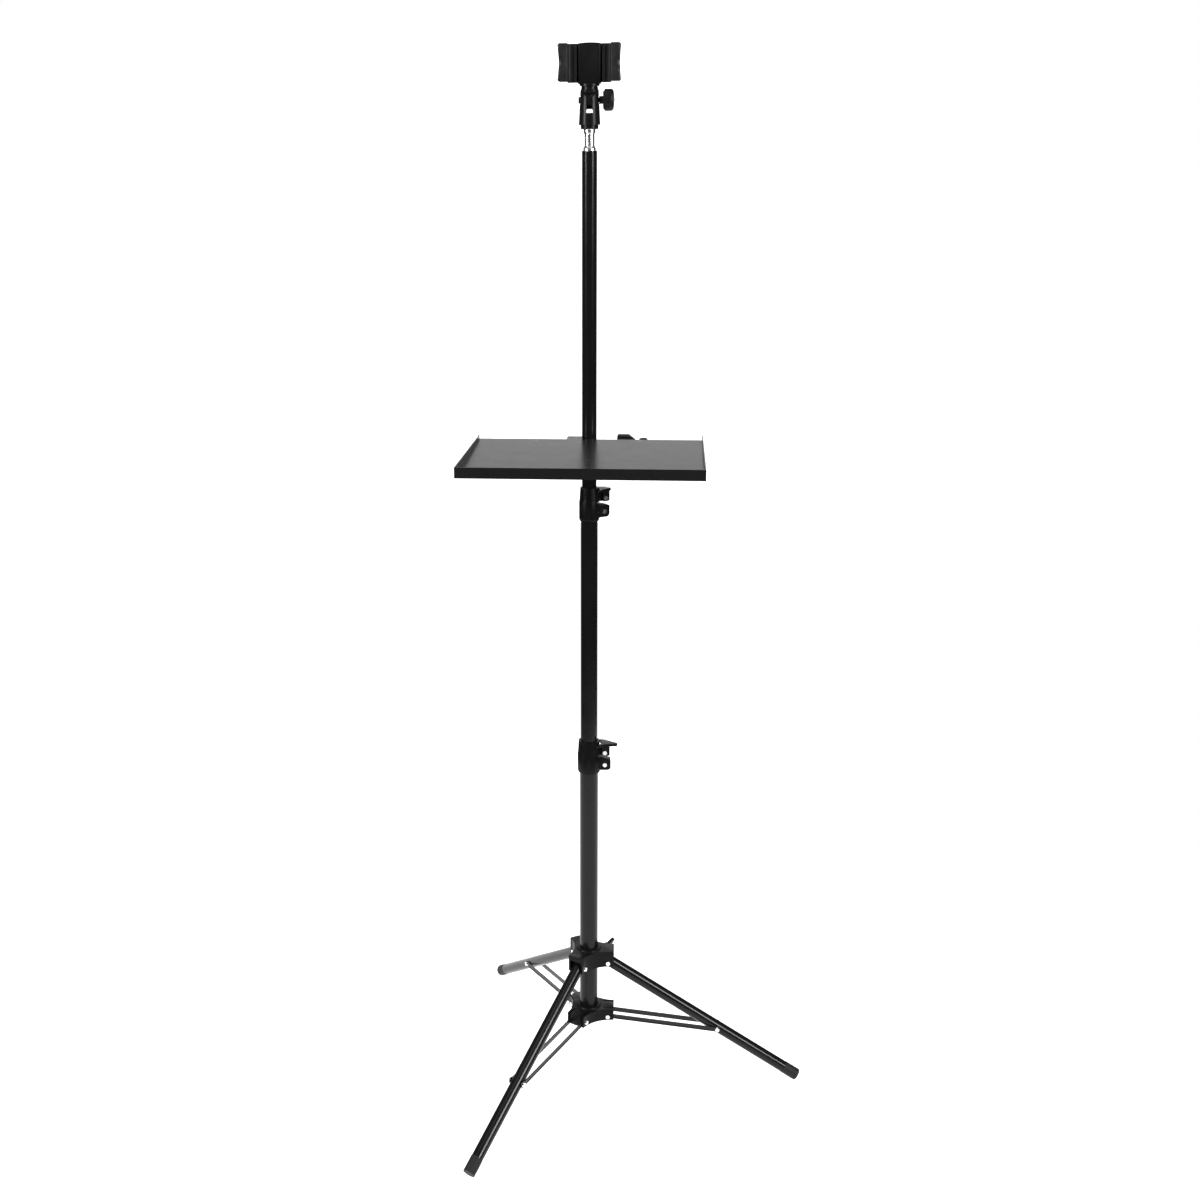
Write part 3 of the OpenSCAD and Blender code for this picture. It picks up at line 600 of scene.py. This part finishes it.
@dataclass(frozen=True)
class CollarFoot:
    """A collar's foot, filled out until its bottom is nearly flat."""

    bore: float
    rim: float
    margin: float = 0.2 * MM

    def apply(self, mesh: bmesh.types.BMesh) -> None:
        """Moves the foot's lowest ring out to the rim.

        Args:
            mesh: The collar's merged mesh.
        """
        column = column_centre().xy
        bottom = min(vert.co.z for vert in mesh.verts)
        for vert in mesh.verts:
            out = vert.co.xy - column
            if vert.co.z < bottom + LEVEL and out.length > self.bore + self.margin:
                vert.co.xy = column + out.normalized() * self.rim


@dataclass(frozen=True)
class KnobTurn:
    """A wing screw, turned about its own axis from where its solid rests."""

    axis_turn: float
    angle: float

    def apply(self, mesh: bmesh.types.BMesh) -> None:
        """Turns the wing.

        Args:
            mesh: The screw's merged mesh.
        """
        column = column_centre()
        joint = next(j for j in frame["record"]["behaviour"]["joints"] if j["name"] == "hub_knob_turn")
        centre = Vector((column.x, column.y, joint["pos_m"][2]))
        turn = Matrix.Rotation(math.radians(self.angle), 4, heading(self.axis_turn))
        for vert in mesh.verts:
            vert.co = centre + turn @ (vert.co - centre)


# Copies that also change in form.
RESHAPED = {
    "lower_lever": LeverShape(turn=4.0, raised=1.1 * MM),
    "upper_lever": LeverShape(turn=32.0, raised=1.1 * MM, wing_from=31 * MM, drawn_in=7 * MM),
    "lower_collar": CollarFoot(bore=12.55 * MM, rim=14.6 * MM),
    "upper_collar": CollarFoot(bore=11.05 * MM, rim=12.5 * MM),
    "hub_knob": KnobTurn(axis_turn=54.0, angle=-28.0),
}


def rounded_copy(node: str, body: str, width: float, segments: int = 2,
                 angle: float = 28.0) -> bpy.types.Object:
    """Replaces a solid by a merged copy of it with rounded edges.

    Args:
        node: The solid's name.
        body: The body that it rides on.
        width: The width of the rounding, in metres.
        segments: How many faces each rounding has.
        angle: The least angle, in degrees, at which an edge is rounded.

    Returns:
        The copy.
    """
    source = frame["nodes"][node]
    piece = bpy.data.objects.new(f"{node}_rounded", source.data.copy())
    bpy.context.scene.collection.objects.link(piece)
    mesh = bmesh.new()
    mesh.from_mesh(piece.data)
    bmesh.ops.remove_doubles(mesh, verts=mesh.verts, dist=MERGE)
    bmesh.ops.dissolve_limit(
        mesh, angle_limit=math.radians(FLAT_ANGLE), verts=mesh.verts, edges=mesh.edges)
    if node in RESHAPED:
        RESHAPED[node].apply(mesh)
    mesh.to_mesh(piece.data)
    mesh.free()
    bpy.ops.object.select_all(action="DESELECT")
    bpy.context.view_layer.objects.active = piece
    piece.select_set(True)
    bevel = piece.modifiers.new("rounding", "BEVEL")
    bevel.width = width
    bevel.segments = segments
    bevel.limit_method = "ANGLE"
    bevel.angle_limit = math.radians(angle)
    bpy.ops.object.modifier_apply(modifier=bevel.name)
    bpy.ops.object.shade_smooth_by_angle(angle=math.radians(angle))
    piece.select_set(False)
    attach(piece, body)
    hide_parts(node)
    return piece


def body_of(node: str) -> str:
    """The body that a solid rides on."""
    return frame["nodes"][node]["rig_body"]


# Widths of the rounded edges of the moulded and cast pieces, in metres.
ROUNDING = {
    "lower_collar": 0.5 * MM,
    "upper_collar": 0.5 * MM,
    "lower_lever": 0.4 * MM,
    "upper_lever": 0.4 * MM,
    "lower_hub": 0.8 * MM,
    "upper_hub": 0.8 * MM,
    "hub_knob": 0.8 * MM,
    "clamp_block": 0.6 * MM,
    "jaw_left": 0.6 * MM,
    "jaw_right": 0.6 * MM,
    "tilt_neck": 0.5 * MM,
}


@dataclass
class Dresser:
    """Dresses every solid in its slot's finish, and rounds those that need it."""

    rounding: dict[str, float] = field(default_factory=dict)

    def build(self) -> None:
        """Dresses each node."""
        slots = {part["node"]: Slot(part["material_slot"]) for part in frame["record"]["subparts"]}
        for node, piece in frame["nodes"].items():
            finish = SPECIAL.get(node, FINISHES[slots[node]])
            if node in self.rounding:
                piece = rounded_copy(node, body_of(node), self.rounding[node])
            finish.dress(piece)
            LOG.info("%s wears %s", node, finish.slot.value)


def main() -> None:
    """Builds the studio and dresses the stand."""
    logging.basicConfig(level=logging.INFO, format="%(name)s: %(message)s")
    bpy.ops.object.select_all(action="DESELECT")
    Studio().build()
    bpy.ops.object.select_all(action="DESELECT")
    Dresser(ROUNDING).build()


if __name__ == "__main__":
    main()
